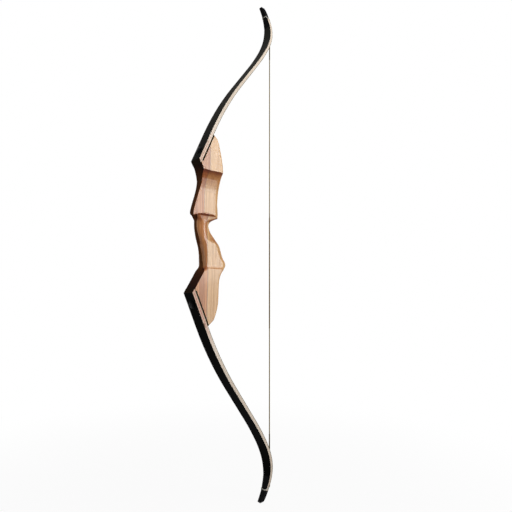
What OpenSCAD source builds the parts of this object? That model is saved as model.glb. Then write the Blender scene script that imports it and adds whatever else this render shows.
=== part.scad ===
// Three-piece take-down recurve bow, strung. A laminated wooden riser carries two laminated
// limbs, each held on its pad by one bolt and one locating pin. The string runs from nock to nock.
// Millimetres. The origin is the throat of the grip, +X points to the string, +Z to the upper tip,
// and -Y is the side of the sight window.

/* [Riser] */
// Width of the riser and of the limb butts
bow_w = 42; // [36:0.5:46]
// Height of each limb butt above or below the throat
butt_height = 175; // [170:0.5:195]
// Distance of the limb butts in front of the throat
butt_forward = 45; // [38:0.5:52]
// How much further forward the lower limb butt stands
lower_step = 10; // [0:0.5:14]
// Slope of the riser's back where the upper butt ends flush with it, from vertical
upper_butt_slope = 29; // [20:0.5:32]
// Length of the upper pad, along the limb
upper_pad_len = 86; // [74:1:94]
// Length of the lower pad, along the limb
lower_pad_len = 95; // [80:1:95]
// Depth of the riser at the throat, from back to belly
throat_depth = 40; // [34:0.5:48]
// Width of the grip at the throat
throat_w = 28; // [24:0.5:34]
// Depth of the palm ridge below the throat
palm_depth = 103; // [98:1:108]
// How far the palm ridge stands behind the throat, towards the archer
palm_reach = 53; // [42:0.5:58]
// How far the beak above the throat stands towards the archer
beak_reach = 41; // [34:0.5:48]
// How far the belly beside the window stands towards the archer
block_reach = 36.5; // [30:0.5:42]
// Rounding of the riser's belly edges
belly_edge_r = 12; // [6:0.5:15]
// Thickness of the dark strip on the riser's back
facing_t = 2; // [1.5:0.25:4]
// Thickness of the black plate glued on each pad
plate_t = 1.4; // [1:0.1:2.4]
// Thickness of the thin dark veneer inside the riser
veneer_t = 1.2; // [0.8:0.1:2.5]
// Distance of that veneer in front of the throat
veneer_forward = 11; // [8:0.5:16]

/* [Sight window] */
// How far the window is cut past the centre line
window_past_centre = 3; // [0:0.5:6]
// Height of the arrow shelf's crown above the throat
shelf_height = 33; // [30:0.5:38]
// Radius of the crowned shelf, front to back
shelf_crown_r = 68; // [55:1:120]
// Height of the window's ceiling at its outer edge
window_top = 149; // [140:0.5:152]
// Height of the hollow sweep from the wall up to the ceiling's outer edge
window_cove_h = 55; // [24:1:64]
// Radius of the rolled belly edge of the window wall
window_roll_r = 16; // [10:0.5:20]

/* [Limbs] */
// Angle of the pads and butts from vertical
limb_angle = 23; // [18:0.5:26]
// Straight clamped length of the butt
butt_len = 95; // [95:1:110]
// Length of the limb's gently curved stretch above the butt
bend_len = 307; // [270:1:350]
// Length of the stretch that turns back towards the recurve
reflex_len = 115; // [90:1:140]
// Length of the recurve, up to the limb's end
recurve_len = 118; // [104:1:140]
// Thickness of the limb at the butt
butt_t = 11; // [10:0.1:14]
// Thickness of the limb at the tip, without the overlay
tip_t = 8; // [6.4:0.1:9]
// Thickness of each glass lamination
glass_t = 1.2; // [0.8:0.1:1.6]
// Thickness of the coloured lamination in the middle of the core
stripe_t = 1.6; // [1:0.1:2.4]
// Where the limb starts to narrow, from the butt
taper_from = 345; // [280:5:400]
// Width of the limb at the nock
nock_w = 17.5; // [14:0.5:20]
// Width of the limb's rounded end
tip_w = 12; // [10:0.5:14]
// Distance of the nock from the limb's end
nock_from_end = 39; // [32:1:46]
// Thickness of the tip overlay
overlay_t = 2.6; // [1.6:0.1:4]
// Length of the tip overlay
overlay_len = 66; // [56:1:90]

/* [Limb bolts] */
// Distance of the bolt from the limb's butt
bolt_from_butt = 32; // [26:0.5:36]
// Diameter of the bolt's shank
bolt_d = 8; // [6:0.5:9]
// Diameter of the bolt's head
head_d = 16; // [13:0.5:19]
// Height of the bolt's head
head_h = 4.6; // [3.5:0.1:6]
// Width of the hexagonal socket across its flats
socket_w = 5; // [4:0.5:6]
// Diameter of the washer
washer_d = 21; // [19:0.5:26]
// Thickness of the washer
washer_t = 1.5; // [1:0.1:2.5]
// Outer diameter of the threaded insert
insert_d = 12; // [11:0.5:15]
// Length of the threaded insert
insert_len = 18; // [12:0.5:22]
// Distance of the locating pin from the limb's butt
pin_from_butt = 60; // [52:0.5:66]
// Diameter of the locating pin
pin_d = 5; // [3:0.5:6]
// Length of the pin inside the limb
pin_in_limb = 6; // [4:0.5:8]
// Length of the pin inside the riser
pin_in_riser = 12; // [8:0.5:14]
// Room round the bolt and the pin in the limb, all round
hole_gap = 0.5; // [0.2:0.05:0.8]
// Room round an insert or pin in its seat, all round
seat_gap = 0.05; // [0.02:0.01:0.1]

/* [String] */
// Diameter of the string
string_d = 2.6; // [2:0.1:3.4]
// Thickness of the thread served round the string
serving_wall = 0.4; // [0.3:0.05:0.7]
// Diameter of each leg of the end loops
loop_d = 2.8; // [2:0.1:3.2]
// Room between the string and what it lies on
string_gap = 0.3; // [0.3:0.05:0.6]
// Height of the nocking point above the throat
nocking_height = 36; // [34:0.5:44]
// Length of the stretch under the archer's fingers, around the nocking point
finger_len = 32; // [20:1:60]
// Depth of the lower end of the centre serving below the throat
serving_bottom = 275; // [90:1:290]
// Length of each end serving
end_serving_len = 110; // [80:1:160]
// Length of the end loops below the nock
loop_len = 24; // [20:1:32]

/* [Hidden] */
$fn = 48;

upper = 1;
lower = -1;
far = 400;
eps = 0.01;

// The limb's back, from the butt to the end: each row is a length and the turn along it
limb_arcs = [
    [butt_len, 0], [bend_len * 0.635, 12.3], [bend_len * 0.365, -0.4], [reflex_len * 0.65, -6.9],
    [reflex_len * 0.35, -10.6], [recurve_len, -57.6]
];
limb_len = sum([for (a = limb_arcs) a[0]]);
nock_s = limb_len - nock_from_end;
facet_turn = 2;
taper_bend = 2.4;

function sum(list, i = 0) = i == len(list) ? 0 : list[i] + sum(list, i + 1);

// A point on the limb's back: x, z and the direction from vertical, starting at the butt
function along(p, l, rate) = rate == 0
    ? [p[0] + l * sin(p[2]), p[1] + l * cos(p[2]), p[2]]
    : let (k = rate * PI / 180, e = p[2] + l * rate)
        [p[0] + (cos(p[2]) - cos(e)) / k, p[1] + (sin(e) - sin(p[2])) / k, e];
function limb_at(s, i = 0, p = [0, 0, limb_angle]) = let (a = limb_arcs[i], rate = a[1] / a[0])
    i == len(limb_arcs) - 1 || s <= a[0]
        ? along(p, s, rate)
        : limb_at(s - a[0], i + 1, along(p, a[0], rate));
// The same point moved from the back into the limb by a depth
function limb_in(s, d) = let (p = limb_at(s)) [p[0] + d * cos(p[2]), p[1] - d * sin(p[2])];

function arc_starts(i = 0, s = 0) = i == len(limb_arcs)
    ? []
    : concat([s], arc_starts(i + 1, s + limb_arcs[i][0]));
limb_stations = concat([
    for (i = [0 : len(limb_arcs) - 1])
        let (a = limb_arcs[i], n = max(1, ceil(abs(a[1]) / facet_turn)))
            for (j = [0 : n - 1]) arc_starts()[i] + a[0] * j / n
], [limb_len]);

// Thickness and layers
function limb_t(s) = s <= butt_len
    ? butt_t
    : butt_t + (tip_t - butt_t) * (s - butt_len) / (limb_len - butt_len);
function layer_depth(i, s) = let (t = limb_t(s), c = (t - 2 * glass_t - stripe_t) / 2)
    [0, glass_t, glass_t + c, glass_t + c + stripe_t, t - glass_t, t][i];

// Half width along the limb
function limb_half_w(s) = s <= taper_from
    ? bow_w / 2
    : s < nock_s
        ? let (u = (s - taper_from) / (nock_s - taper_from))
            nock_w / 2 + (bow_w - nock_w) / 2 * cos(90 * pow(u, taper_bend))
        : nock_w / 2 + (tip_w - nock_w) / 2 * (s - nock_s) / nock_from_end;

// Where the string leaves the limb, and the line that it keeps to
string_r = string_d / 2;
serving_r = string_r + serving_wall;
string_ride = string_gap + serving_r;
last_arc = limb_arcs[len(limb_arcs) - 1];
last_start = limb_len - last_arc[0];
function turn_to(angle) = last_start + (angle - limb_at(last_start)[2]) / (last_arc[1] / last_arc[0]);
function string_over(s) = limb_in(s, limb_t(s) + string_ride);
upper_lift_s = turn_to(0);
limb_reach = string_over(upper_lift_s)[1];
// The lower limb is turned by this much, so that both limbs meet the same string line
lower_turn = asin(lower_step / limb_reach);
lower_lift_s = turn_to(-lower_turn);

function side_turn(side) = side == upper ? 0 : lower_turn;
function side_forward(side) = butt_forward + (side == upper ? 0 : lower_step);
// From a limb's own x and z to the bow's
function to_bow(side, p) = let (t = side_turn(side)) [
    p[0] * cos(t) + p[1] * sin(t) - side_forward(side),
    side * (p[1] * cos(t) - p[0] * sin(t) + butt_height)
];
string_x = to_bow(upper, string_over(upper_lift_s))[0];

module on_side(side) {
    if (side == upper)
        translate([-side_forward(side), 0, butt_height]) children();
    else
        translate([-side_forward(side), 0, -butt_height])
            mirror([0, 0, 1]) rotate([0, lower_turn, 0]) children();
}

// Places children on the limb at a station, with their +Z pointing from the back into the bow
module into_limb(s, d = 0) {
    p = limb_in(s, d);
    translate([p[0], 0, p[1]]) rotate([0, 90 + limb_at(s)[2], 0]) children();
}

module across(w) {
    rotate([90, 0, 0]) linear_extrude(w, center = true) children();
}

// Limbs
heel = palm_depth + 18;
function back_in(share) = share * (throat_depth - veneer_forward) - throat_depth;
heel_x = back_in(0.56);
lower_butt_slope = atan((heel_x + butt_forward + lower_step) / (butt_height - heel));
function butt_slope(side) = side == upper ? upper_butt_slope : lower_butt_slope;
function butt_start(side, d) = -d / tan(butt_slope(side) + limb_angle + side_turn(side));
function layer_edge(side, i) = [
    for (s = limb_stations)
        let (d = layer_depth(i, s)) s == 0 ? limb_in(butt_start(side, d), d) : limb_in(s, d)
];
function backwards(list) = [for (i = [len(list) - 1 : -1 : 0]) list[i]];

outline_step = 12;
end_rise = 1;
module limb_outline() {
    straight = [[bow_w / 2, -40], [bow_w / 2, limb_at(taper_from)[1]]];
    top = limb_at(limb_len)[1] + end_rise;
    r = tip_w / 2;
    taper = [
        for (s = [taper_from + outline_step : outline_step : limb_len - r - end_rise])
            [limb_half_w(s), limb_at(s)[1]]
    ];
    end = [for (a = [0 : 15 : 90]) [r * cos(a), top - r + r * sin(a)]];
    half = concat(straight, taper, end);
    rotate([90, 0, 90]) linear_extrude(2 * far, center = true)
        polygon(concat(half, [for (p = backwards(half)) [-p[0], p[1]]]));
}

groove_r = loop_d / 2 + 0.4;
groove_depth = loop_d - 0.2;
groove_y = nock_w / 2 - groove_depth + groove_r;
nock_tilt = 35;
nock_t = limb_t(nock_s);
module nock_grooves() {
    for (y = [-groove_y, groove_y])
        translate([0, y, 0]) into_limb(nock_s, nock_t / 2)
            rotate([0, nock_tilt, 0]) cylinder(h = 6 * nock_t, r = groove_r, center = true);
}

module limb_holes() {
    into_limb(bolt_from_butt, -butt_t) cylinder(h = 3 * butt_t, d = bolt_d + 2 * hole_gap);
    into_limb(pin_from_butt, butt_t - pin_in_limb - hole_gap)
        cylinder(h = butt_t, d = pin_d + 2 * hole_gap);
}

module limb_layer(side, i) {
    on_side(side) difference() {
        intersection() {
            across(2 * bow_w) polygon(concat(layer_edge(side, i), backwards(layer_edge(side, i + 1))));
            limb_outline();
        }
        nock_grooves();
        limb_holes();
    }
}

overlay_from = limb_len - overlay_len;
overlay_start = let (
    i = [for (j = [1 : len(limb_stations) - 1]) if (limb_stations[j] >= overlay_from) j][0],
    a = limb_stations[i - 1], b = limb_stations[i]
) limb_in(a, 0) + (limb_in(b, 0) - limb_in(a, 0)) * (overlay_from - a) / (b - a);
overlay_ramp = 24;
module tip_overlay(side) {
    stations = [for (s = limb_stations) if (s > overlay_from + overlay_ramp) s];
    outer = concat(
        [limb_in(overlay_from + overlay_ramp / 2, -overlay_t / 2)],
        [for (s = concat([overlay_from + overlay_ramp], stations)) limb_in(s, -overlay_t)]
    );
    inner = [for (s = limb_stations) if (s > overlay_from) limb_in(s, 0)];
    on_side(side) difference() {
        intersection() {
            across(2 * bow_w) polygon(concat([overlay_start], outer, backwards(inner)));
            limb_outline();
        }
        nock_grooves();
    }
}

module upper_back_glass() { color([0.05, 0.05, 0.06]) limb_layer(upper, 0); }
module upper_back_core() { color([0.9, 0.82, 0.68]) limb_layer(upper, 1); }
module upper_centre_stripe() { color([0.72, 0.3, 0.26]) limb_layer(upper, 2); }
module upper_belly_core() { color([0.9, 0.82, 0.68]) limb_layer(upper, 3); }
module upper_belly_glass() { color([0.45, 0.42, 0.3]) limb_layer(upper, 4); }
module upper_tip_overlay() { color([0.06, 0.06, 0.06]) tip_overlay(upper); }
module lower_back_glass() { color([0.05, 0.05, 0.06]) limb_layer(lower, 0); }
module lower_back_core() { color([0.9, 0.82, 0.68]) limb_layer(lower, 1); }
module lower_centre_stripe() { color([0.72, 0.3, 0.26]) limb_layer(lower, 2); }
module lower_belly_core() { color([0.9, 0.82, 0.68]) limb_layer(lower, 3); }
module lower_belly_glass() { color([0.45, 0.42, 0.3]) limb_layer(lower, 4); }
module lower_tip_overlay() { color([0.06, 0.06, 0.06]) tip_overlay(lower); }

// Riser outline: heights with the x of the back, the x of the belly and the half width
function pad_tip(side, pad_len) = to_bow(side, limb_in(pad_len, butt_t));
function butt_x(side) = -side_forward(side);
function back_slope_x(side, rise) = butt_x(side) + rise * tan(butt_slope(side));
low_tip = pad_tip(lower, lower_pad_len);
high_tip = pad_tip(upper, upper_pad_len);
edge_t = 1.5;
function up(share) = shelf_height + share * (butt_height - shelf_height);
back_curve = [
    [low_tip[1], butt_x(lower)], [-butt_height - eps, butt_x(lower)], [-butt_height, butt_x(lower)],
    [-(butt_height + heel) / 2, back_slope_x(lower, (butt_height - heel) / 2)],
    [-heel, heel_x], [-palm_depth - 1, back_in(0.79)], [-92, back_in(0.74)], [-78, back_in(0.69)],
    [-66, back_in(0.6)], [-52, back_in(0.465)], [-36, back_in(0.29)], [-20, back_in(0.12)],
    [-6, back_in(0.02)], [6, back_in(0)], [16, back_in(-0.02)], [24, back_in(-0.12)],
    [shelf_height - 1, back_in(-0.17)], [up(0.05), back_in(-0.14)], [up(0.155), back_in(-0.02)],
    [up(0.39), back_in(0.31)], [up(0.5), back_in(0.43)], [up(0.62), back_in(0.5)],
    [up(0.745), back_in(0.39)],
    [butt_height - 20, back_slope_x(upper, 20)], [butt_height, butt_x(upper)],
    [butt_height + eps, butt_x(upper)], [high_tip[1], butt_x(upper)]
];
belly_curve = [
    [low_tip[1], low_tip[0] + edge_t], [low_tip[1] + 13, 11.5], [low_tip[1] + 31, 21],
    [low_tip[1] + 51, 27],
    [-palm_depth - 57, palm_reach - 23.5], [-palm_depth - 37, palm_reach - 22],
    [-palm_depth - 19, palm_reach - 15], [-palm_depth - 8, palm_reach - 5.5], [-palm_depth - 1, palm_reach - 0.5],
    [-palm_depth + 6, palm_reach], [-palm_depth + 12, palm_reach - 2.3],
    [-84, palm_reach - 7.5], [-70, palm_reach - 12], [-54, palm_reach - 17.2], [-39, palm_reach * 0.5],
    [-28, palm_reach * 0.33], [-17, palm_reach * 0.14], [-7, 2], [2, 0], [9, 3], [15, beak_reach * 0.25],
    [20, beak_reach / 2], [26, beak_reach - 6], [shelf_height - 2, beak_reach], [up(0.035), beak_reach - 1.5],
    [up(0.1), block_reach + 0.5], [up(0.19), block_reach - 3.5], [up(0.37), block_reach - 2],
    [up(0.5), block_reach + 0.5], [up(0.68), block_reach + 1.5], [up(0.88), block_reach],
    [high_tip[1] - 74, block_reach - 2], [high_tip[1] - 56, 31], [high_tip[1] - 31, 22],
    [high_tip[1] - 9, 11.5], [high_tip[1], high_tip[0] + edge_t]
];
full_half = bow_w / 2 + 1;
width_curve = [
    [-far, full_half], [-palm_depth - 14, full_half], [-palm_depth - 2, throat_w / 2 + 4.5],
    [-55, throat_w / 2 + 3], [-5, throat_w / 2], [12, throat_w / 2 + 0.5],
    [shelf_height - 9, throat_w / 2 + 2], [shelf_height - 1.5, full_half], [far, full_half]
];
back_round = [
    [-far, 1.5], [-palm_depth - 13, 1.5], [-palm_depth + 13, 9], [-55, 13], [10, 12], [24, 9], [38, 3],
    [120, 2], [far, 2]
];
belly_round = [
    [-far, 2], [low_tip[1], 2], [low_tip[1] + 42, belly_edge_r - 2], [-heel - 4, belly_edge_r], [-60, 17],
    [-5, 13.5], [14, 13], [30, 10], [60, belly_edge_r], [190, belly_edge_r], [high_tip[1], 2], [far, 2]
];

function row_below(curve, z, i = 0) =
    i >= len(curve) - 2 || z < curve[i + 1][0] ? i : row_below(curve, z, i + 1);
// A smooth curve through the rows, and a row by row blend that never overshoots
function slope_at(curve, i) = let (a = max(i - 1, 0), b = min(i + 1, len(curve) - 1))
    (curve[b][1] - curve[a][1]) / (curve[b][0] - curve[a][0]);
function smooth_at(curve, z) = let (
    i = row_below(curve, z), h = curve[i + 1][0] - curve[i][0], u = (z - curve[i][0]) / h,
    m = slope_at(curve, i) * h, n = slope_at(curve, i + 1) * h
) (2 * u ^ 3 - 3 * u ^ 2 + 1) * curve[i][1] + (u ^ 3 - 2 * u ^ 2 + u) * m
    + (3 * u ^ 2 - 2 * u ^ 3) * curve[i + 1][1] + (u ^ 3 - u ^ 2) * n;
function blend_at(curve, z) = let (
    i = row_below(curve, z), u = (z - curve[i][0]) / (curve[i + 1][0] - curve[i][0])
) curve[i][1] + (curve[i + 1][1] - curve[i][1]) * (1 - cos(180 * u)) / 2;

corner_steps = 5;
function rounded_corner(x, y, r, from) = [
    for (j = [0 : corner_steps]) let (a = from + 90 * j / corner_steps) [x + r * cos(a), y + r * sin(a)]
];
function riser_section(z) = let (
    back = smooth_at(back_curve, z), belly = smooth_at(belly_curve, z), w = blend_at(width_curve, z),
    deep = (belly - back) / 2 - 0.1, rb = min(blend_at(back_round, z), w - 0.1, deep),
    rf = min(blend_at(belly_round, z), w - 0.1, deep)
) concat(
    rounded_corner(belly - rf, w - rf, rf, 0), rounded_corner(back + rb, w - rb, rb, 90),
    rounded_corner(back + rb, rb - w, rb, 180), rounded_corner(belly - rf, rf - w, rf, 270)
);
function spread(a, b, step) = let (n = ceil((b - a) / step)) [for (i = [0 : n - 1]) a + (b - a) * i / n];
riser_stations = concat(
    spread(low_tip[1], -butt_height - eps, 14), [-butt_height - eps], spread(-butt_height, -heel, 11),
    spread(-heel, -12, 6), spread(-12, shelf_height + 8, 4), spread(shelf_height + 8, butt_height - 40, 12),
    spread(butt_height - 40, butt_height, 10), [butt_height], spread(butt_height + eps, high_tip[1], 12),
    [high_tip[1]]
);

module loft(rings, closed = false) {
    n = len(rings[0]);
    m = len(rings);
    points = [for (ring = rings) for (p = ring) p];
    sides = [
        for (i = [0 : m - (closed ? 1 : 2)]) for (j = [0 : n - 1])
            let (a = i * n + j, b = i * n + (j + 1) % n, c = (b + n) % (m * n), d = (a + n) % (m * n))
                each [[a, c, b], [a, d, c]]
    ];
    ends = [[for (j = [0 : n - 1]) j], [for (j = [n - 1 : -1 : 0]) (m - 1) * n + j]];
    polyhedron(points, closed ? sides : concat(sides, ends));
}

// The space beyond a pad, which the limb takes
module pad_space(side, extra = 0) {
    dir = [sin(limb_angle), cos(limb_angle)];
    a = limb_in(butt_start(side, butt_t + extra), butt_t + extra);
    b = [a[0] + dir[0] * far, a[1] + dir[1] * far];
    on_side(side) across(2 * bow_w)
        polygon([a, b, [b[0] - far, b[1] + far], [a[0] - far, a[1]]]);
}

// The sight window: wall with a rolled edge, drawn out to the ceiling in a hollow sweep, over a crown
module window_space() {
    wall = window_past_centre;
    roll_x = 25;
    roll = [
        for (a = [75 : -7.5 : 0]) [roll_x + window_roll_r * sin(a), wall + window_roll_r * (1 - cos(a))]
    ];
    plan = concat([[far, -far], [far, far]], roll, [[-far, wall], [-far, -far]]);
    cove_depth = wall + bow_w / 2 + 1;
    cove_z = window_top - window_cove_h;
    crown_x = -14;
    crown_z = shelf_height - shelf_crown_r;
    intersection() {
        loft(concat(
            [[for (p = plan) [p[0], p[1], 0]]],
            [for (a = [0 : 10 : 90]) let (drop = cove_depth * pow(1 - cos(a), 0.7))
                [for (p = plan) [p[0], p[1] - drop, cove_z + window_cove_h * sin(a)]]]
        ));
        across(2 * far) difference() {
            translate([-far, -far]) square([2 * far, 2 * far]);
            translate([crown_x, crown_z]) circle(r = shelf_crown_r, $fn = 120);
            translate([-far, -far]) square([2 * far, far + crown_z]);
        }
    }
}

module insert_bore(side) {
    on_side(side) into_limb(bolt_from_butt, butt_t - 1)
        cylinder(h = insert_len + 1 + bolt_end_room, d = insert_d + 2 * seat_gap);
}
module pin_bore(side) {
    on_side(side) into_limb(pin_from_butt, butt_t - 1)
        cylinder(h = pin_in_riser + 1 + seat_gap, d = pin_d + 2 * seat_gap);
}
bolt_end_room = 1;

module riser_solid() {
    difference() {
        intersection() {
            loft([for (z = riser_stations) [for (p = riser_section(z)) [p[0], p[1], z]]]);
            cube([2 * far, bow_w, 2 * far], center = true);
        }
        pad_space(upper);
        pad_space(lower);
        window_space();
        for (side = [upper, lower]) {
            insert_bore(side);
            pin_bore(side);
        }
    }
}

module plate_space() {
    for (side = [upper, lower]) pad_space(side, plate_t);
}
module facing_space() {
    across(2 * bow_w) polygon(concat(
        [for (z = riser_stations) [-far, z]],
        backwards([for (z = riser_stations) [smooth_at(back_curve, z) + facing_t, z]])
    ));
}
module slab(from, to) {
    translate([from, -bow_w, -far]) cube([to - from, 2 * bow_w, 2 * far]);
}
veneer_x = -veneer_forward;

module riser_back_facing() {
    color([0.3, 0.2, 0.13]) difference() {
        intersection() {
            riser_solid();
            facing_space();
        }
        plate_space();
    }
}
module riser_back_block() {
    color([0.62, 0.41, 0.25]) difference() {
        riser_solid();
        facing_space();
        slab(veneer_x, far);
        plate_space();
    }
}
module riser_accent_veneer() {
    color([0.5, 0.38, 0.31]) difference() {
        intersection() {
            riser_solid();
            slab(veneer_x, veneer_x + veneer_t);
        }
        plate_space();
    }
}
module riser_belly_block() {
    color([0.76, 0.6, 0.43]) difference() {
        riser_solid();
        slab(-far, veneer_x + veneer_t);
        plate_space();
    }
}
module pad_plate(side) {
    intersection() {
        riser_solid();
        pad_space(side, plate_t);
    }
}
module upper_pad_plate() { color([0.06, 0.06, 0.06]) pad_plate(upper); }
module lower_pad_plate() { color([0.06, 0.06, 0.06]) pad_plate(lower); }

// Bolts, washers, inserts and pins
module limb_bolt(side) {
    r = head_d / 2;
    dome = head_h * 0.6;
    on_side(side) into_limb(bolt_from_butt) {
        translate([0, 0, -washer_t]) difference() {
            rotate([180, 0, 0]) rotate_extrude() polygon(concat(
                [[0, 0], [r, 0]],
                [for (a = [0 : 10 : 80]) [r - dome + dome * cos(a), head_h - dome + dome * sin(a)]],
                [[0, head_h]]
            ));
            translate([0, 0, -head_h - 1]) cylinder(h = head_h * 0.6 + 1, d = socket_w / cos(30), $fn = 6);
        }
        translate([0, 0, -washer_t - 0.5])
            cylinder(h = washer_t + 0.5 + butt_t + insert_len - 1, d = bolt_d);
    }
}
module bolt_washer(side) {
    on_side(side) into_limb(bolt_from_butt) translate([0, 0, -washer_t]) difference() {
        cylinder(h = washer_t, d = washer_d);
        translate([0, 0, -1]) cylinder(h = washer_t + 2, d = bolt_d + 2 * seat_gap);
    }
}
module bolt_insert(side) {
    on_side(side) into_limb(bolt_from_butt, butt_t) difference() {
        cylinder(h = insert_len, d = insert_d);
        translate([0, 0, -1]) cylinder(h = insert_len + 2, d = bolt_d + 2 * seat_gap);
    }
}
module locating_pin(side) {
    on_side(side) into_limb(pin_from_butt, butt_t - pin_in_limb)
        cylinder(h = pin_in_limb + pin_in_riser, d = pin_d);
}
steel = [0.62, 0.62, 0.64];
brass = [0.78, 0.62, 0.3];
module upper_limb_bolt() { color([0.08, 0.08, 0.085]) limb_bolt(upper); }
module upper_bolt_washer() { color([0.1, 0.1, 0.1]) bolt_washer(upper); }
module upper_bolt_insert() { color(brass) bolt_insert(upper); }
module upper_locating_pin() { color(steel) locating_pin(upper); }
module lower_limb_bolt() { color([0.08, 0.08, 0.085]) limb_bolt(lower); }
module lower_bolt_washer() { color([0.1, 0.1, 0.1]) bolt_washer(lower); }
module lower_bolt_insert() { color(brass) bolt_insert(lower); }
module lower_locating_pin() { color(steel) locating_pin(lower); }

// String: each half runs from the loop over the recurve's belly and straight on to the fingers' stretch
tube_sides = 8;
function unit(v) = v / norm(v);
function ring_at(path, i, r, ref) = let (
    n = len(path) - 1, t = unit(path[min(i + 1, n)] - path[max(i - 1, 0)]),
    e = unit(ref - (ref * t) * t), f = cross(t, e)
) [for (j = [0 : tube_sides - 1]) let (a = 360 * j / tube_sides) path[i] + r * (cos(a) * e + sin(a) * f)];
module tube(path, d, ref) {
    loft([for (i = [len(path) - 1 : -1 : 0]) ring_at(path, i, d / 2, ref)]);
}

join_s = nock_s - loop_len;
ride_step = 8;
function lift_s(side) = side == upper ? upper_lift_s : lower_lift_s;
function flat(p) = [p[0], 0, p[1]];
function on_recurve(side) = [
    for (i = [0 : ceil((join_s - lift_s(side)) / ride_step)])
        let (n = ceil((join_s - lift_s(side)) / ride_step), s = join_s + (lift_s(side) - join_s) * i / n)
            flat(to_bow(side, string_over(s)))
];
function string_path(side) =
    concat(on_recurve(side), [[string_x, 0, nocking_height + side * finger_len / 2]]);
function serving_path(side) = let (rest = end_serving_len - (join_s - lift_s(side)))
    concat(on_recurve(side), [flat(to_bow(side, string_over(lift_s(side)))) - [0, 0, side * rest]]);

module bowstring(side) {
    tube(string_path(side), string_d, [0, 1, 0]);
}
module end_serving(side) {
    path = serving_path(side);
    n = len(path) - 1;
    loft(concat(
        [for (i = [n : -1 : 0]) ring_at(path, i, serving_r, [0, 1, 0])],
        [for (i = [0 : n]) ring_at(path, i, string_r + seat_gap, [0, 1, 0])]
    ), closed = true);
}
module served(from, to) {
    translate([string_x, 0, from]) difference() {
        cylinder(h = to - from, d = string_d + 2 * serving_wall);
        translate([0, 0, -1]) cylinder(h = to - from + 2, d = string_d + 2 * seat_gap);
    }
}

// A loop's points: y, depth from the limb's back and height above the nock, then round by a smooth curve
loop_r = loop_d / 2;
leg_gap = loop_r + string_gap;
function nock_frame(y, d, w) = let (p = limb_at(nock_s), c = limb_in(nock_s, d))
    [c[0] + w * sin(p[2]), y, c[1] + w * cos(p[2])];
function over_belly(y, w, extra) =
    let (s = nock_s + w, c = limb_in(s, limb_t(s) + leg_gap + extra)) [c[0], y, c[1]];
function groove_w(d) = -(d - nock_t / 2) * tan(nock_tilt);
half_loop = [
    over_belly(loop_r + 0.1, -loop_len + string_gap, string_ride - leg_gap),
    over_belly(loop_r + 0.5, -loop_len * 0.75, 0.3), over_belly(groove_y * 0.55, -loop_len * 0.45, 0.3),
    over_belly(groove_y * 0.92, groove_w(nock_t) - 3.5, 0.4),
    nock_frame(groove_y + 0.1, nock_t + 0.3, groove_w(nock_t + 0.3)),
    nock_frame(groove_y, nock_t / 2, 0),
    nock_frame(groove_y + 0.1, -overlay_t - 0.2, groove_w(-overlay_t - 0.2)),
    nock_frame(groove_y * 0.7, -overlay_t - leg_gap - 0.2, groove_w(-overlay_t - leg_gap)),
    nock_frame(0, -overlay_t - leg_gap - 0.1, groove_w(-overlay_t - leg_gap))
];
loop_points = concat(
    half_loop, [for (i = [len(half_loop) - 2 : -1 : 0]) let (p = half_loop[i]) [p[0], -p[1], p[2]]]
);
loop_cuts = 3;
function loop_slope(i) = (loop_points[min(i + 1, len(loop_points) - 1)] - loop_points[max(i - 1, 0)]) / 2;
loop_path = concat([
    for (i = [0 : len(loop_points) - 2]) for (j = [0 : loop_cuts - 1]) let (u = j / loop_cuts)
        (2 * u ^ 3 - 3 * u ^ 2 + 1) * loop_points[i] + (u ^ 3 - 2 * u ^ 2 + u) * loop_slope(i)
            + (3 * u ^ 2 - 2 * u ^ 3) * loop_points[i + 1] + (u ^ 3 - u ^ 2) * loop_slope(i + 1)
], [loop_points[len(loop_points) - 1]]);
module string_loop(side) {
    a = 90 + limb_at(nock_s)[2] + nock_tilt;
    on_side(side) tube(loop_path, loop_d, [cos(a), 0, -sin(a)]);
}

thread = [0.52, 0.47, 0.34];
module upper_bowstring() { color(thread) bowstring(upper); }
module upper_string_loop() { color([0.7, 0.7, 0.68]) string_loop(upper); }
module upper_end_serving() { color([0.5, 0.46, 0.36]) end_serving(upper); }
module nocking_bowstring() {
    color(thread) translate([string_x, 0, nocking_height])
        cylinder(h = finger_len, d = string_d, center = true);
}
module nocking_serving() {
    color([0.27, 0.23, 0.17]) served(nocking_height - finger_len / 2, nocking_height + finger_len / 2);
}
module lower_bowstring() { color(thread) bowstring(lower); }
module lower_string_loop() { color([0.7, 0.7, 0.68]) string_loop(lower); }
module lower_end_serving() { color([0.5, 0.46, 0.36]) end_serving(lower); }
module centre_serving() {
    color([0.27, 0.23, 0.17]) served(-serving_bottom, nocking_height - finger_len / 2);
}

riser_back_facing();
riser_back_block();
riser_accent_veneer();
riser_belly_block();
upper_pad_plate();
lower_pad_plate();
upper_back_glass();
upper_back_core();
upper_centre_stripe();
upper_belly_core();
upper_belly_glass();
upper_tip_overlay();
lower_back_glass();
lower_back_core();
lower_centre_stripe();
lower_belly_core();
lower_belly_glass();
lower_tip_overlay();
upper_limb_bolt();
upper_bolt_washer();
upper_bolt_insert();
upper_locating_pin();
lower_limb_bolt();
lower_bolt_washer();
lower_bolt_insert();
lower_locating_pin();
upper_bowstring();
upper_string_loop();
upper_end_serving();
nocking_bowstring();
nocking_serving();
lower_bowstring();
lower_string_loop();
lower_end_serving();
centre_serving();
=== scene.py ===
from math import cos, pi, radians, sin, sqrt

import bmesh
import bpy
from mathutils import Matrix, Vector


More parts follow.
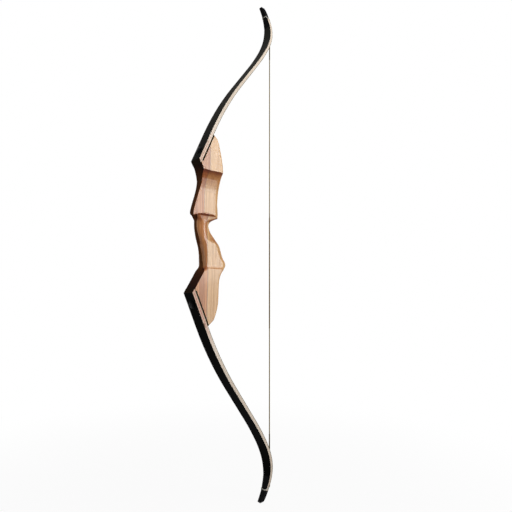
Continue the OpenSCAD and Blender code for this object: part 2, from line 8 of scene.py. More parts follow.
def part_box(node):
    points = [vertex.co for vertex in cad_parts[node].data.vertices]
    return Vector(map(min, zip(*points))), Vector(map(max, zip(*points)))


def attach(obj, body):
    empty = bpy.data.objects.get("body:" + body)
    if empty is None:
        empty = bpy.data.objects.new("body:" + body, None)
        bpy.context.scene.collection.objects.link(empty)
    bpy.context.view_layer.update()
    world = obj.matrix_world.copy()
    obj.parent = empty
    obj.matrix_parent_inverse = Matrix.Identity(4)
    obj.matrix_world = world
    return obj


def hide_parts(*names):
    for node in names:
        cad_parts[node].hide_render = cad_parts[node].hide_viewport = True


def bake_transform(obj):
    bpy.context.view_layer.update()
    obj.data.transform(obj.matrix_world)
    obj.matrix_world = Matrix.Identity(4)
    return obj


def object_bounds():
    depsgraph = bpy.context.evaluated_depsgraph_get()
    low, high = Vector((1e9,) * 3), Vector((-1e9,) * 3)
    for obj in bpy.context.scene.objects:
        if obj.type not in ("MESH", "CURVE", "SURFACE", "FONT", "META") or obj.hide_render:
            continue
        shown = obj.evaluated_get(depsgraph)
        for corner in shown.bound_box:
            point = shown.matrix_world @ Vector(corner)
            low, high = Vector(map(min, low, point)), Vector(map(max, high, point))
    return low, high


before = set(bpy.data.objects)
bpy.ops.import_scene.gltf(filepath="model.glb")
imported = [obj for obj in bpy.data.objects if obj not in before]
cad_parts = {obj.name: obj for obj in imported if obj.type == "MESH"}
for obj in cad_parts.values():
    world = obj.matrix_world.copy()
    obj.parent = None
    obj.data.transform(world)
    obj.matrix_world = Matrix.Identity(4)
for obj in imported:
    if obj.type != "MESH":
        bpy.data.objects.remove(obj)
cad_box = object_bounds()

# Camera: a little below the grip, in front of the bow and on its window side, tipped up.
# The shift is the photograph's own framing.
eye = Vector((-0.5919, -0.8977, -0.1767))
eye_turn, eye_tip, eye_roll = 0.7018, 0.1494, 0.0054
look = Vector((sin(eye_turn) * cos(eye_tip), cos(eye_turn) * cos(eye_tip), sin(eye_tip)))
level = Vector((cos(eye_turn), -sin(eye_turn), 0))
above = level.cross(look)
across = cos(eye_roll) * level + sin(eye_roll) * above
upward = cos(eye_roll) * above - sin(eye_roll) * level
bpy.ops.object.camera_add()
camera = bpy.context.object
camera.name = "camera"
camera.matrix_world = Matrix.Translation(eye) @ Matrix((across, upward, -look)).transposed().to_4x4()
camera.data.sensor_width = 36
camera.data.lens = 28.58
camera.data.shift_x = 0.0007
camera.data.shift_y = -0.0452
camera.data.clip_start = 0.02
bpy.context.scene.camera = camera
bpy.context.scene.view_settings.view_transform = "Standard"


# Studio: a white floor at the lower tip and a white room round it. Two narrow softboxes,
# one over the other, stand where the varnish mirrors them. Three wide ones light the
# bow from above, from the camera's left and from behind.
def tree_of(material):
    material.use_nodes = True
    tree = material.node_tree
    return tree, tree.nodes["Principled BSDF"]


def shown_rays(tree):
    ray = tree.nodes.new("ShaderNodeLightPath")
    kinds = ray.outputs["Is Camera Ray"]
    for other in ("Is Glossy Ray", "Is Transmission Ray"):
        either = tree.nodes.new("ShaderNodeMath")
        either.operation = "MAXIMUM"
        tree.links.new(kinds, either.inputs[0])
        tree.links.new(ray.outputs[other], either.inputs[1])
        kinds = either.outputs[0]
    return kinds


floor_width, floor_gap = 30, 0.0005
shaded_to, white_from, shaded_share = 0.78, 1.5, 0.94
bpy.ops.object.select_all(action="DESELECT")
bpy.ops.mesh.primitive_plane_add(size=floor_width, location=(0, 0, cad_box[0][2] - floor_gap))
floor = bpy.context.object
floor.name = "floor"
bpy.ops.object.transform_apply(location=True, rotation=False, scale=False)
floor_paint = bpy.data.materials.new("floor_paint")
tree, shader = tree_of(floor_paint)
shader.inputs["Base Color"].default_value = (0.35, 0.35, 0.35, 1)
shader.inputs["Roughness"].default_value = 0.9
shader.inputs["Specular IOR Level"].default_value = 0.1
where = tree.nodes.new("ShaderNodeTexCoord")
far = tree.nodes.new("ShaderNodeVectorMath")
far.operation = "LENGTH"
spread = tree.nodes.new("ShaderNodeMapRange")
spread.interpolation_type = "SMOOTHSTEP"
for name, value in (("From Min", shaded_to), ("From Max", white_from), ("To Min", shaded_share), ("To Max", 1)):
    spread.inputs[name].default_value = value
glow = tree.nodes.new("ShaderNodeEmission")
share = tree.nodes.new("ShaderNodeMixShader")
seen = tree.nodes.new("ShaderNodeMath")
seen.operation = "MULTIPLY"
tree.links.new(where.outputs["Object"], far.inputs[0])
tree.links.new(far.outputs["Value"], spread.inputs["Value"])
tree.links.new(shown_rays(tree), seen.inputs[0])
tree.links.new(spread.outputs["Result"], seen.inputs[1])
tree.links.new(seen.outputs[0], share.inputs[0])
tree.links.new(shader.outputs[0], share.inputs[1])
tree.links.new(glow.outputs[0], share.inputs[2])
tree.links.new(share.outputs[0], tree.nodes["Material Output"].inputs[0])
floor.data.materials.append(floor_paint)

room_light = 0.2
room = bpy.data.worlds.new("room")
bpy.context.scene.world = room
room.use_nodes = True
tree = room.node_tree
dim = tree.nodes["Background"]
dim.inputs["Color"].default_value = (1, 1, 1, 1)
dim.inputs["Strength"].default_value = room_light
white = tree.nodes.new("ShaderNodeBackground")
white.inputs["Color"].default_value = (1, 1, 1, 1)
white.inputs["Strength"].default_value = 1
share = tree.nodes.new("ShaderNodeMixShader")
tree.links.new(shown_rays(tree), share.inputs[0])
tree.links.new(dim.outputs[0], share.inputs[1])
tree.links.new(white.outputs[0], share.inputs[2])
tree.links.new(share.outputs[0], tree.nodes["World Output"].inputs[0])


def softbox(name, place, aim, width, height, power):
    bpy.ops.object.light_add(type="AREA", location=place)
    lamp = bpy.context.object
    lamp.name = name
    lamp.rotation_euler = (Vector(aim) - Vector(place)).to_track_quat("-Z", "Y").to_euler()
    lamp.data.shape = "RECTANGLE"
    lamp.data.size = width
    lamp.data.size_y = height
    lamp.data.energy = power


softbox("key_softbox", (0.97, -1.45, 0.46), (0, 0, 0.36), 0.45, 1.1, 22)
softbox("low_softbox", (0.97, -1.45, -0.34), (0, 0, -0.44), 0.45, 0.5, 4.5)
softbox("top_softbox", (0.2, -0.9, 1.7), (0, 0, 0), 1.2, 1.2, 18)
softbox("fill_softbox", (-1.6, -0.4, 0.1), (0, 0, -0.05), 1.0, 1.4, 6)
softbox("back_softbox", (0.9, 1.5, 0.5), (0, 0, 0), 1.2, 1.6, 22)


# Riser: hardwood blocks glued up, bandsawn and carved, then varnished to a gloss. A dark
# facing on the back, the brown block, a grey veneer and the tan belly block meet along
# glue lines. The neck is rasped round, and a black plate is glued on each limb pad.
def copy_of(node, name):
    piece = bpy.data.objects.new(name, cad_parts[node].data.copy())
    bpy.context.scene.collection.objects.link(piece)
    piece.data.materials.clear()
    bpy.ops.object.select_all(action="DESELECT")
    piece.select_set(True)
    bpy.context.view_layer.objects.active = piece
    bpy.ops.object.mode_set(mode="EDIT")
    bpy.ops.mesh.select_all(action="SELECT")
    bpy.ops.mesh.remove_doubles(threshold=0.000005)
    bpy.ops.mesh.dissolve_limited(angle_limit=radians(0.3))
    bpy.ops.object.mode_set(mode="OBJECT")
    return piece


def smooth(piece, angle):
    bpy.ops.object.select_all(action="DESELECT")
    piece.select_set(True)
    bpy.context.view_layer.objects.active = piece
    bpy.ops.object.shade_smooth_by_angle(angle=radians(angle))


def apply_modifier(piece, kind, **settings):
    bpy.ops.object.select_all(action="DESELECT")
    piece.select_set(True)
    bpy.context.view_layer.objects.active = piece
    bpy.ops.object.modifier_add(type=kind)
    modifier = piece.modifiers[-1]
    for key, value in settings.items():
        setattr(modifier, key, value)
    bpy.ops.object.modifier_apply(modifier=modifier.name)


def eased(a, b, x):
    t = min(1, max(0, (x - a) / (b - a)))
    return t * t * (3 - 2 * t)


def grain_coordinates(tree, along, place=(0, 0, 0)):
    where = tree.nodes.new("ShaderNodeTexCoord")
    stretch = tree.nodes.new("ShaderNodeMapping")
    stretch.inputs["Location"].default_value = place
    stretch.inputs["Scale"].default_value = (1, 1, along)
    tree.links.new(where.outputs["Object"], stretch.inputs["Vector"])
    return stretch.outputs["Vector"]


def noise(tree, vector, scale, detail, roughness=0.5, distortion=0):
    texture = tree.nodes.new("ShaderNodeTexNoise")
    texture.inputs["Scale"].default_value = scale
    texture.inputs["Detail"].default_value = detail
    texture.inputs["Roughness"].default_value = roughness
    texture.inputs["Distortion"].default_value = distortion
    tree.links.new(vector, texture.inputs["Vector"])
    return texture.outputs["Fac"]


def ramp(tree, value, stops):
    colours = tree.nodes.new("ShaderNodeValToRGB")
    while len(colours.color_ramp.elements) < len(stops):
        colours.color_ramp.elements.new(0.5)
    for element, (at, colour) in zip(colours.color_ramp.elements, stops):
        element.position = at
        element.color = (*colour, 1)
    tree.links.new(value, colours.inputs["Fac"])
    return colours.outputs["Color"]


def mixed(tree, kind, amount, a, b):
    mix = tree.nodes.new("ShaderNodeMix")
    mix.data_type = "RGBA"
    mix.blend_type = kind
    mix.inputs["Factor"].default_value = amount
    tree.links.new(a, mix.inputs["A"])
    tree.links.new(b, mix.inputs["B"])
    return mix.outputs["Result"]


def bump(tree, shader, height, strength, distance):
    raised = tree.nodes.new("ShaderNodeBump")
    raised.inputs["Strength"].default_value = strength
    raised.inputs["Distance"].default_value = distance
    tree.links.new(height, raised.inputs["Height"])
    tree.links.new(raised.outputs["Normal"], shader.inputs["Normal"])


def tinted_by_height(tree, colour, stops):
    height = tree.nodes.new("ShaderNodeSeparateXYZ")
    tree.links.new(grain_coordinates(tree, 0.5, (0, 0, 0.5)), height.inputs[0])
    height_factor = ramp(tree, height.outputs["Z"], [(at / 2 + 0.5, tint) for at, tint in stops])
    return mixed(tree, "MULTIPLY", 1, colour, height_factor)


def flecked(name, dark, light, along, scale, detail, rough, shine, mottle=0.5):
    finish = bpy.data.materials.new(name)
    tree, shader = tree_of(finish)
    flecks = noise(tree, grain_coordinates(tree, along), scale, detail, mottle)
    tree.links.new(ramp(tree, flecks, [(0.3, dark), (0.7, light)]), shader.inputs["Base Color"])
    shader.inputs["Roughness"].default_value = rough
    shader.inputs["Specular IOR Level"].default_value = shine
    return finish, tree, shader, flecks


def varnished_wood(name, early, late, pore, rings, place=(0, 0, 0), gloss=0.15, coat=0.45, figure=0.75,
                   height_tints=None):
    wood = bpy.data.materials.new(name)
    tree, shader = tree_of(wood)
    growth = noise(tree, grain_coordinates(tree, 0.035, place), rings, 4, 0.55, 0.4)
    body = ramp(tree, growth, [(0.3, late), (0.48, early), (0.6, late), (0.78, early)])
    fibre = noise(tree, grain_coordinates(tree, 0.02, place), 900, 5, 0.6)
    streaks = ramp(tree, fibre, [(0.32, (0.6, 0.57, 0.52)), (0.58, (1, 1, 1))])
    figured = mixed(tree, "MULTIPLY", figure, body, streaks)
    vessels = noise(tree, grain_coordinates(tree, 0.04, place), 1700, 2, 0.5)
    open_pores = ramp(tree, vessels, [(0.3, pore), (0.38, (1, 1, 1))])
    stained_and_shaded = mixed(tree, "MULTIPLY", 0.7, figured, open_pores)
    # Faces that look up or down show end grain, which takes the finish darker; the ramp below darkens them
    # further, to a deep brown, as painted shade on every face that looks up or down.
    face = tree.nodes.new("ShaderNodeSeparateXYZ")
    tree.links.new(tree.nodes.new("ShaderNodeTexCoord").outputs["Normal"], face.inputs[0])
    slope = tree.nodes.new("ShaderNodeMath")
    slope.operation = "ABSOLUTE"
    tree.links.new(face.outputs["Z"], slope.inputs[0])
    end_grain_and_shade = ramp(tree, slope.outputs[0],
                     [(0.12, (1, 1, 1)), (0.35, (0.82, 0.62, 0.43)), (0.7, (0.42, 0.17, 0.05))])
    stained_and_shaded = mixed(tree, "MULTIPLY", 1, stained_and_shaded, end_grain_and_shade)
    if height_tints:
        stained_and_shaded = tinted_by_height(tree, stained_and_shaded, height_tints)
    tree.links.new(stained_and_shaded, shader.inputs["Base Color"])
    shader.inputs["Roughness"].default_value = 0.42
    shader.inputs["Specular IOR Level"].default_value = 0
    shader.inputs["Coat Weight"].default_value = coat
    shader.inputs["Coat Roughness"].default_value = gloss
    bump(tree, shader, fibre, 0.08, 0.0004)
    return wood


# The facing is multiplied by a tint that runs with height: it darkens to near black towards both limb butts, as
# painted shade where the limbs meet the riser's back.
facing_wood = varnished_wood(
    "dark_facing_wood", (0.21, 0.09, 0.03), (0.11, 0.044, 0.015), (0.5, 0.45, 0.4), 140, gloss=0.2, coat=0.05,
    height_tints=((-0.17, (0.1, 0.07, 0.05)), (-0.135, (0.35, 0.28, 0.22)), (-0.11, (0.7, 0.62, 0.5)),
           (0, (0.6, 0.5, 0.4)), (0.03, (0.55, 0.47, 0.4)), (0.12, (0.6, 0.5, 0.42)),
           (0.165, (0.1, 0.07, 0.055))))
brown_wood = varnished_wood(
    "brown_block_wood", (0.49, 0.21, 0.075), (0.33, 0.12, 0.036), (0.5, 0.4, 0.32), 80, (0.3, 0.1, 0.2))
tan_wood = varnished_wood(
    "tan_block_wood", (0.58, 0.35, 0.16), (0.45, 0.245, 0.1), (0.6, 0.5, 0.42), 95, (0.1, 0.4, 0.7))
veneer_wood = varnished_wood(
    "grey_veneer_wood", (0.24, 0.16, 0.11), (0.19, 0.12, 0.08), (0.6, 0.55, 0.5), 200)
pad_black, tree, shader, weave = flecked(
    "pad_black_laminate", (0.006, 0.005, 0.004), (0.014, 0.012, 0.009), 0.3, 1500, 3, 0.6, 0.03)
bump(tree, shader, weave, 0.04, 0.0003)

# The sawn blocks become one body, so that carving and sanding run over the glue lines.
voxel, sanding_passes = 0.001, 6
riser_nodes = ("riser_back_facing", "riser_back_block", "riser_accent_veneer", "riser_belly_block",
               "upper_pad_plate", "lower_pad_plate")
glued = [copy_of(node, node + "_sawn") for node in riser_nodes]
bpy.ops.object.select_all(action="DESELECT")
for block in glued:
    block.select_set(True)
bpy.context.view_layer.objects.active = glued[0]
bpy.ops.object.join()
carved = bpy.context.object
carved.name = "carved_riser"
apply_modifier(carved, "REMESH", mode="VOXEL", voxel_size=voxel)

# The neck's section at each height is drawn from its middle line towards an ellipse that
# has the neck's own depth and width. The back stands a little prouder.
neck_low, neck_high, neck_step, rasped = -0.122, 0.018, 0.001, 0.0012
neck = []
for i in range(round((neck_high - neck_low) / neck_step) + 1):
    z = neck_low + i * neck_step
    middle = -0.0115 - 0.0085 * eased(-0.055, -0.03, z)
    back = carved.ray_cast(Vector((-0.2, 0, z)), Vector((1, 0, 0)))[1]
    belly = carved.ray_cast(Vector((0.2, 0, z)), Vector((-1, 0, 0)))[1]
    flank = carved.ray_cast(Vector((middle, -0.1, z)), Vector((0, 1, 0)))[1]
    neck.append((middle, middle - back.x + rasped, belly.x - middle, -flank.y))
for v in carved.data.vertices:
    x, y, z = v.co
    if neck_low < z < neck_high:
        middle, behind, ahead, wide = neck[round((z - neck_low) / neck_step)]
        share = eased(neck_low, -0.105, z) * (1 - eased(0.008, neck_high, z))
        deep = behind
        if x > middle:
            deep = ahead
            share *= eased(-0.05, -0.03, z)
        grow = share * (1 / sqrt(((x - middle) / deep) ** 2 + (y / wide) ** 2) - 1)
        v.co.x += grow * (x - middle)
        v.co.y += grow * y

# Each pad is a point on it and the way into the riser. Sanding stops short of them, so
# that the limbs' seats stay flat and crisp.
unsanded = 0.0025
pads = ((Vector((-0.01534, 0, 0.21673)), Vector((0.9205, 0, -0.3907))),
        (Vector((-0.02449, 0, -0.21611)), Vector((0.9123, 0, 0.4096))))
sanded = carved.vertex_groups.new(name="sanded")
away = [v.index for v in carved.data.vertices
        if all((v.co - place).dot(into) > unsanded for place, into in pads)]
sanded.add(away, 1, "REPLACE")
apply_modifier(carved, "SMOOTH", factor=0.5, iterations=sanding_passes, vertex_group="sanded")

# The facing's inner face follows the CAD facing, pared thinner along the neck. Each piece
# is then what the carved body and its own space share.
veneer_front, veneer_back, plate_t = -0.0098, -0.011, 0.0034
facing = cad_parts["riser_back_facing"]
beside_bores = 0.0045
low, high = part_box("riser_back_facing")
rows = []
for i in range(161):
    z = low.z + 0.0005 + (high.z - low.z - 0.001) * i / 160
    hit, spot = facing.ray_cast(Vector((0.1, beside_bores, z)), Vector((-1, 0, 0)))[:2]
    pared = 0.001 + 0.0014 * eased(-0.03, -0.06, z)
    pared *= eased(-0.12, -0.105, z) * (1 - eased(0.008, neck_high, z))
    if hit:
        rows.append((z, spot.x - pared))
bpy.ops.object.select_all(action="DESELECT")
bpy.ops.mesh.primitive_cube_add(size=0.2, location=(0, 0, 0))
strip_space = bpy.context.object
strip_space.name = "strip_space"
outline = bmesh.new()
rows = [(low.z - 0.01, rows[0][1])] + rows + [(high.z + 0.01, rows[-1][1])]
left = [outline.verts.new((-0.09, -0.04, z)) for z, x in rows]
right = [outline.verts.new((x, -0.04, z)) for z, x in rows]
for a, b, c, d in zip(left, right, right[1:], left[1:]):
    outline.faces.new((a, b, c, d))
far_side = bmesh.ops.extrude_face_region(outline, geom=outline.faces[:])["geom"]
bmesh.ops.translate(outline, vec=(0, 0.08, 0), verts=[v for v in far_side if isinstance(v, bmesh.types.BMVert)])
bmesh.ops.recalc_face_normals(outline, faces=outline.faces)
outline.to_mesh(strip_space.data)
outline.free()


def slab(name, x0, x1):
    bpy.ops.object.select_all(action="DESELECT")
    bpy.ops.mesh.primitive_cube_add(size=1, location=((x0 + x1) / 2, 0, 0), scale=(x1 - x0, 0.1, 0.8))
    bpy.ops.object.transform_apply(location=True, rotation=False, scale=True)
    bpy.context.object.name = name
    return bpy.context.object


front_space = slab("front_space", veneer_front, 0.2)
veneer_space = slab("veneer_space", veneer_back, veneer_front)
back_space = slab("back_space", -0.2, veneer_back)
plate_spaces = []
for name, (place, into) in zip(("upper_plate_space", "lower_plate_space"), pads):
    space = slab(name, -0.02, plate_t)
    space.data.transform(Matrix.Translation(place) @ into.to_track_quat("X", "Y").to_matrix().to_4x4())
    plate_spaces.append(space)
cut_plates = tuple(("DIFFERENCE", space) for space in plate_spaces)
for node, finish, slot, cuts in (
    ("riser_back_facing", facing_wood, "facing", (("INTERSECT", strip_space),) + cut_plates),
    ("riser_back_block", brown_wood, "riser_brown",
     (("INTERSECT", back_space), ("DIFFERENCE", strip_space)) + cut_plates),
    ("riser_accent_veneer", veneer_wood, "veneer", (("INTERSECT", veneer_space),) + cut_plates),
    ("riser_belly_block", tan_wood, "riser_tan", (("INTERSECT", front_space),) + cut_plates),
    ("upper_pad_plate", pad_black, "pad_black", (("INTERSECT", plate_spaces[0]),)),
    ("lower_pad_plate", pad_black, "pad_black", (("INTERSECT", plate_spaces[1]),)),
):
    block = bpy.data.objects.new("carved_" + node, carved.data.copy())
    bpy.context.scene.collection.objects.link(block)
    for operation, other in cuts:
        apply_modifier(block, "BOOLEAN", operation=operation, object=other, solver="MANIFOLD")
    smooth(block, 40)
    block.data.materials.clear()
    block.data.materials.append(finish)
    block.data.polygons.foreach_set("material_index", [0] * len(block.data.polygons))
    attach(block, "riser")
    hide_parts(node)
for space in (carved, strip_space, front_space, veneer_space, back_space, *plate_spaces):
    bpy.data.objects.remove(space)


# Limbs: each is five laminations pressed over a form in one glue-up: glass on the back
# and belly, and a maple core with a pink-red stripe between. The sides are ground flush
# and the tip's end is dipped in black. The butt's end faces, which look back and in
# towards the riser, are painted near black as painted shade.
def glass(name, colour, fibre_colour, gloss, coat, height_tints=None):
    laminate = bpy.data.materials.new(name)
    tree, shader = tree_of(laminate)
    fibres = noise(tree, grain_coordinates(tree, 0.012), 1400, 3, 0.6)
    body = ramp(tree, fibres, [(0.35, colour), (0.7, fibre_colour)])
    if height_tints:
        body = tinted_by_height(tree, body, height_tints)
    tree.links.new(body, shader.inputs["Base Color"])
    shader.inputs["Roughness"].default_value = 0.5
    shader.inputs["Specular IOR Level"].default_value = 0
    shader.inputs["Coat Weight"].default_value = coat
    shader.inputs["Coat Roughness"].default_value = gloss
    bump(tree, shader, fibres, 0.03, 0.0003)
    return laminate


# Painted shade: the back glass is multiplied towards black down the lower limb, which faces down, and left
# lighter on the upper limb, which faces up, as a painted sheen.
black_glass = glass(
    "black_back_glass", (0.026, 0.025, 0.021), (0.042, 0.04, 0.034), 0.12, 0.03,
    ((-0.2, (0.03, 0.03, 0.03)), (0.15, (0.3, 0.3, 0.3)), (0.3, (0.8, 0.8, 0.8)), (0.4, (1, 1, 1))))
olive_glass = glass("olive_belly_glass", (0.07, 0.058, 0.026), (0.11, 0.092, 0.044), 0.12, 0.07)
maple = varnished_wood(
    "maple_core", (0.66, 0.58, 0.48), (0.57, 0.48, 0.38), (0.85, 0.8, 0.74), 160, (0.5, 0.2, 0.3),
    gloss=0.2, figure=0.25,
    height_tints=((-0.31, (0.95, 0.95, 0.95)), (-0.23, (0.7, 0.48, 0.38)), (0.2, (0.72, 0.52, 0.4)),
           (0.28, (0.95, 0.95, 0.95))))
butt_end_shade = flecked(
    "painted_shade_butt_end", (0.014, 0.009, 0.006), (0.03, 0.019, 0.012), 1, 700, 3, 0.7, 0)[0]
overlay_black, tree, shader, cloud = flecked(
    "polished_tip_black", (0.004, 0.004, 0.0045), (0.007, 0.007, 0.0078), 0.3, 260, 4, 0.5, 0)
shader.inputs["Coat Weight"].default_value = 0.06
shader.inputs["Coat Roughness"].default_value = 0.15
bump(tree, shader, cloud, 0.05, 0.0005)
stripe = varnished_wood(
    "pink_red_stripe", (0.6, 0.48, 0.4), (0.5, 0.4, 0.33), (0.7, 0.6, 0.6), 160, (0.2, 0.6, 0.1),
    gloss=0.2, figure=0.25,
    height_tints=((-0.31, (1, 1, 1)), (-0.23, (0.6, 0.12, 0.1)), (0.2, (0.4, 0.15, 0.08)), (0.28, (1, 1, 1))))
limb_layers = (
    ("back_glass", black_glass, "glass_black"), ("back_core", maple, "core_maple"),
    ("centre_stripe", stripe, "stripe_red"), ("belly_core", maple, "core_maple"),
    ("belly_glass", olive_glass, "glass_olive"),
)
bend_starts, bend_ends, bend_cuts = 0.25, 0.48, 24
dipped_from, butt_within = 0.704, 0.19
for side, way in (("upper", 1), ("lower", -1)):
    for layer, finish, slot in limb_layers:
        strip = copy_of(f"{side}_{layer}", f"{side}_{layer}_lamination")
        bpy.ops.object.mode_set(mode="EDIT")
        for i in range(bend_cuts + 1):
            height = way * (bend_starts + (bend_ends - bend_starts) * i / bend_cuts)
            bpy.ops.mesh.select_all(action="SELECT")
            bpy.ops.mesh.bisect(plane_co=(0, 0, height), plane_no=(0, 0, 1))
        bpy.ops.mesh.select_all(action="SELECT")
        bpy.ops.mesh.bisect(plane_co=(0, 0, way * dipped_from), plane_no=(0, 0, 1))
        bpy.ops.object.mode_set(mode="OBJECT")
        smooth(strip, 20)
        strip.data.materials.append(finish)
        strip.data.materials.append(butt_end_shade)
        strip.data.materials.append(overlay_black)
        for face in strip.data.polygons:
            # Butt end faces that look back and in towards the riser take the painted shade.
            if abs(face.center.z) < butt_within and face.normal.z * way < -0.3 and face.normal.x < -0.6:
                face.material_index = 1
            elif face.center.z * way > dipped_from:
                face.material_index = 2
        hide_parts(f"{side}_{layer}")
        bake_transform(strip)


# Tip overlays: a black wedge glued on the back of each tip, filed to a ramp, with the
# nock grooves filed through it. Its edges are rounded by hand and polished.
for side in ("upper", "lower"):
    wedge = copy_of(f"{side}_tip_overlay", f"{side}_tip_wedge")
    smooth(wedge, 30)
    wedge.data.materials.append(overlay_black)
    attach(wedge, f"{side}_limb")
    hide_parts(f"{side}_tip_overlay")


# Limb bolts: a steel socket-head bolt on a black washer holds each limb. It screws into a
# brass insert in the riser, and a steel pin beside it stops the limb from turning.
def metal(name, light, dark, rough, metallic=1.0, shine=0.5):
    surface, tree, shader, marks = flecked(name, dark, light, 1, 900, 4, rough, shine, 0.65)
    shader.inputs["Metallic"].default_value = metallic
    bump(tree, shader, marks, 0.05, 0.0002)
    return surface


steel = metal("pin_steel", (0.6, 0.6, 0.62), (0.46, 0.46, 0.48), 0.28)
black_oxide = metal("black_oxide_steel", (0.012, 0.012, 0.013), (0.006, 0.006, 0.007), 0.45, 0.0, 0.06)
brass = metal("insert_brass", (0.62, 0.43, 0.15), (0.5, 0.33, 0.1), 0.35)
washer_coat = metal("washer_black", (0.008, 0.008, 0.009), (0.004, 0.004, 0.005), 0.6, 0.0, 0.02)
for side in ("upper", "lower"):
    for node, finish, slot in (
        ("limb_bolt", black_oxide, "bolt_black"), ("bolt_washer", washer_coat, "washer_black"),
        ("bolt_insert", brass, "brass"), ("locating_pin", steel, "steel"),
    ):
        part = copy_of(f"{side}_{node}", f"{side}_turned_{node}")
        smooth(part, 30)
        part.data.materials.append(finish)
        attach(part, "riser")
        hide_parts(f"{side}_{node}")


# Bowstring: fourteen waxed strands laid up with a slow twist, drawn as nine ridges. It runs
# over the belly of each recurve and straight on. It is one cord, made here as two halves
# and the short stretch at the fingers, which fold against each other at the draw.
def resampled(route, step):
    points = [Vector(p) for p in route]
    out = [points[0]]
    for a, b in zip(points, points[1:]):
        n = max(1, round((b - a).length / step))
        out += [a.lerp(b, i / n) for i in range(1, n + 1)]
    return out


def laid_tube(name, route, radius, strands=0, depth=0, lay=1, sides=24):
    n = len(route)
    grid = bmesh.new()
    uv = grid.loops.layers.uv.new("length_round")
    rings, lengths, run = [], [], 0.0
    side_way = None
    for i, p in enumerate(route):
        if i:
            run += (p - route[i - 1]).length
        t = (route[min(i + 1, n - 1)] - route[max(i - 1, 0)]).normalized()
        if side_way is None:
            side_way = Vector((0, 1, 0)) if abs(t.y) < 0.8 else Vector((1, 0, 0))
        side_way = (side_way - t * side_way.dot(t)).normalized()
        other = t.cross(side_way)
        ring = []
        for j in range(sides):
            a = 2 * pi * j / sides
            r = radius - depth * (1 - abs(cos(strands * (a - 2 * pi * run / lay) / 2))) if strands else radius
            ring.append(grid.verts.new(p + r * (cos(a) * side_way + sin(a) * other)))
        rings.append(ring)
        lengths.append(run)
    for i in range(n - 1):
        for j in range(sides):
            k = (j + 1) % sides
            face = grid.faces.new((rings[i][j], rings[i][k], rings[i + 1][k], rings[i + 1][j]))
            corners = ((j / sides, lengths[i]), ((j + 1) / sides, lengths[i]),
                       ((j + 1) / sides, lengths[i + 1]), (j / sides, lengths[i + 1]))
            for loop, (u, v) in zip(face.loops, corners):
                loop[uv].uv = (u, v)
    grid.faces.new(list(reversed(rings[0])))
    grid.faces.new(rings[-1])
    bmesh.ops.recalc_face_normals(grid, faces=grid.faces)
    mesh = bpy.data.meshes.new(name)
    grid.to_mesh(mesh)
    grid.free()
    tube = bpy.data.objects.new(name, mesh)
    bpy.context.scene.collection.objects.link(tube)
    smooth(tube, 50)
    return tube


def thread(name, light, dark, pitch, groove, rough):
    fibre = bpy.data.materials.new(name)
    tree, shader = tree_of(fibre)
    where = tree.nodes.new("ShaderNodeUVMap")
    where.uv_map = "length_round"
    parts = tree.nodes.new("ShaderNodeSeparateXYZ")
    tree.links.new(where.outputs["UV"], parts.inputs[0])
    turns = tree.nodes.new("ShaderNodeMath")
    turns.operation = "MULTIPLY_ADD"
    turns.inputs[1].default_value = 1 / pitch
    tree.links.new(parts.outputs["Y"], turns.inputs[0])
    tree.links.new(parts.outputs["X"], turns.inputs[2])
    wrap = tree.nodes.new("ShaderNodeMath")
    wrap.operation = "PINGPONG"
    wrap.inputs[1].default_value = 0.5
    tree.links.new(turns.outputs[0], wrap.inputs[0])
    round_turn = tree.nodes.new("ShaderNodeMath")
    round_turn.operation = "POWER"
    round_turn.inputs[1].default_value = 0.4
    tree.links.new(wrap.outputs[0], round_turn.inputs[0])
    turn_colour = ramp(tree, round_turn.outputs[0], [(0.0, dark), (0.6, light)])
    wear = noise(tree, grain_coordinates(tree, 1), 140, 4, 0.6)
    patches = ramp(tree, wear, [(0.3, (0.78, 0.76, 0.72)), (0.7, (1, 1, 1))])
    tree.links.new(mixed(tree, "MULTIPLY", 0.8, turn_colour, patches), shader.inputs["Base Color"])
    shader.inputs["Roughness"].default_value = rough
    shader.inputs["Specular IOR Level"].default_value = 0.02
    bump(tree, shader, round_turn.outputs[0], groove, 0.0004)
    return fibre


string_thread = thread("waxed_string_strands", (0.22, 0.15, 0.012), (0.11, 0.073, 0.005), 0.012, 0.15, 0.5)
string_r = 0.0014
string_x, nock_low, nock_high = 0.22164, 0.020, 0.052
upper_run = [(0.2198, 0, 0.68093), (0.2208, 0, 0.67398), (0.22141, 0, 0.66698),
             (string_x, 0, 0.65996), (string_x, 0, nock_high)]
lower_run = [(0.22018, 0, -0.67536), (0.22095, 0, -0.66927), (0.22142, 0, -0.66314),
             (0.2216, 0, -0.657), (string_x, 0, nock_low)]
for name, run, body, node in (
    ("upper_laid_string", upper_run, "upper_string", "upper_bowstring"),
    ("lower_laid_string", lower_run, "lower_string", "lower_bowstring"),
    ("nocking_laid_string", [(string_x, 0, nock_high), (string_x, 0, nock_low)], "string_centre",
     "nocking_bowstring"),
):
    cord = laid_tube(name, resampled(run, 0.002), string_r, strands=9, depth=0.00018, lay=0.045, sides=36)
    cord.data.materials.append(string_thread)
    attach(cord, body)
    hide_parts(node)


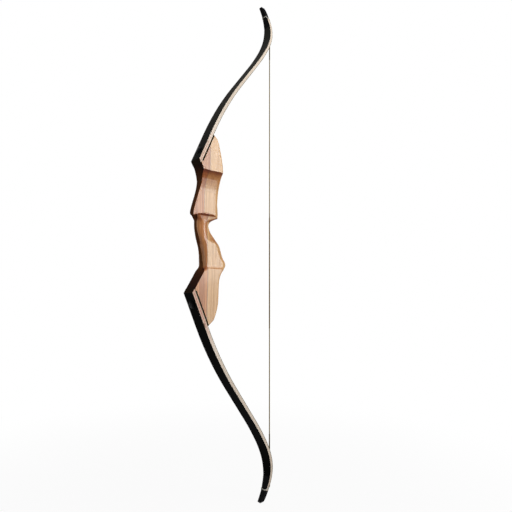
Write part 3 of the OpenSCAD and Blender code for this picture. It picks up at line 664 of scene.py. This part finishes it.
# Servings: hard thread wound tight round the string, a turn every half millimetre. The
# long one guards the middle from arrow nock and forearm, the end ones the recurves.
serving_thread = thread("serving_thread", (0.17, 0.105, 0.012), (0.085, 0.052, 0.005), 0.0006, 0.5, 0.55)
end_thread = thread("end_serving_thread", (0.12, 0.08, 0.01), (0.06, 0.04, 0.005), 0.0006, 0.5, 0.55)
serving_r = 0.0017
serving_low, end_top, end_low = -0.275, 0.56932, -0.56393
for name, run, body, node, finish in (
    ("nocking_wound_serving", [(string_x, 0, nock_high), (string_x, 0, nock_low)], "string_centre",
     "nocking_serving", serving_thread),
    ("centre_wound_serving", [(string_x, 0, nock_low), (string_x, 0, serving_low)], "lower_string",
     "centre_serving", serving_thread),
    ("upper_wound_serving", upper_run[:-1] + [(string_x, 0, end_top)], "upper_string",
     "upper_end_serving", end_thread),
    ("lower_wound_serving", lower_run[:-1] + [(0.2216, 0, end_low)], "lower_string",
     "lower_end_serving", end_thread),
):
    winding = laid_tube(name, resampled(run, 0.004), serving_r)
    winding.data.materials.append(finish)
    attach(winding, body)
    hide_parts(node)


# End loops: below each nock the string parts in two, runs through the filed grooves and
# closes over the tip's back, served with grey thread all the way. The band in the nock
# moves with the limb, and the two legs swing with the string.
loop_thread = thread("grey_loop_thread", (0.4, 0.39, 0.35), (0.22, 0.21, 0.19), 0.0006, 0.5, 0.6)
loop_r, at_nock = 0.0014, 15
upper_half = [
    (219.75, 1.5, 681.25), (219.46, 1.53, 682.77), (219.04, 1.6, 684.97), (218.54, 1.9, 687.33),
    (217.92, 2.55, 689.86), (217.22, 3.44, 692.55), (216.58, 4.37, 694.92), (216.15, 5.4, 696.74),
    (215.79, 6.48, 698.23), (215.25, 7.31, 699.54), (214.48, 7.75, 700.72), (213.53, 7.95, 701.72),
    (212.33, 8.05, 702.53), (210.86, 8.07, 703.06), (209.15, 8, 703.4), (207.1, 7.95, 703.82),
    (204.36, 8.06, 704.5), (201.29, 8.2, 705.26), (198.91, 8.05, 705.84), (197.72, 7.53, 706.1),
    (197.22, 6.72, 706.17), (196.95, 5.57, 706.2), (196.83, 3.94, 706.24), (196.95, 1.97, 706.25),
    (197.04, 0, 706.24)]
lower_half = [
    (220.13, 1.5, -675.68), (219.87, 1.53, -677.21), (219.5, 1.6, -679.42), (219.04, 1.9, -681.79),
    (218.48, 2.55, -684.33), (217.83, 3.44, -687.03), (217.25, 4.37, -689.41), (216.86, 5.4, -691.24),
    (216.52, 6.48, -692.74), (216.01, 7.31, -694.06), (215.27, 7.75, -695.26), (214.34, 7.95, -696.28),
    (213.15, 8.05, -697.12), (211.7, 8.07, -697.68), (209.99, 8, -698.05), (207.95, 7.95, -698.51),
    (205.23, 8.06, -699.25), (202.17, 8.2, -700.07), (199.81, 8.05, -700.7), (198.62, 7.53, -700.98),
    (198.12, 6.72, -701.06), (197.85, 5.57, -701.1), (197.74, 3.94, -701.14), (197.85, 1.97, -701.14),
    (197.94, 0, -701.14)]
for side, half in (("upper", upper_half), ("lower", lower_half)):
    whole = half + [(x, -y, z) for x, y, z in reversed(half[:-1])]
    route = resampled([Vector(p) / 1000 for p in whole], 0.0008)
    soft = [(a + 2 * b + c) / 4 for a, b, c in zip(route, route[1:], route[2:])]
    soft = [route[0]] + soft + [route[-1]]
    nock = Vector(half[at_nock]) / 1000
    first = min(range(len(soft) // 2), key=lambda i: (soft[i] - nock).length)
    last = len(soft) - 1 - first
    for name, part, body in (
        ("loop_band", soft[first:last + 1], f"{side}_limb"),
        ("loop_right_leg", soft[:first + 1], f"{side}_string"),
        ("loop_left_leg", soft[last:], f"{side}_string"),
    ):
        piece = laid_tube(f"{side}_{name}", part, loop_r, sides=20)
        piece.data.materials.append(loop_thread)
        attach(piece, body)
        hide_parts(f"{side}_string_loop")
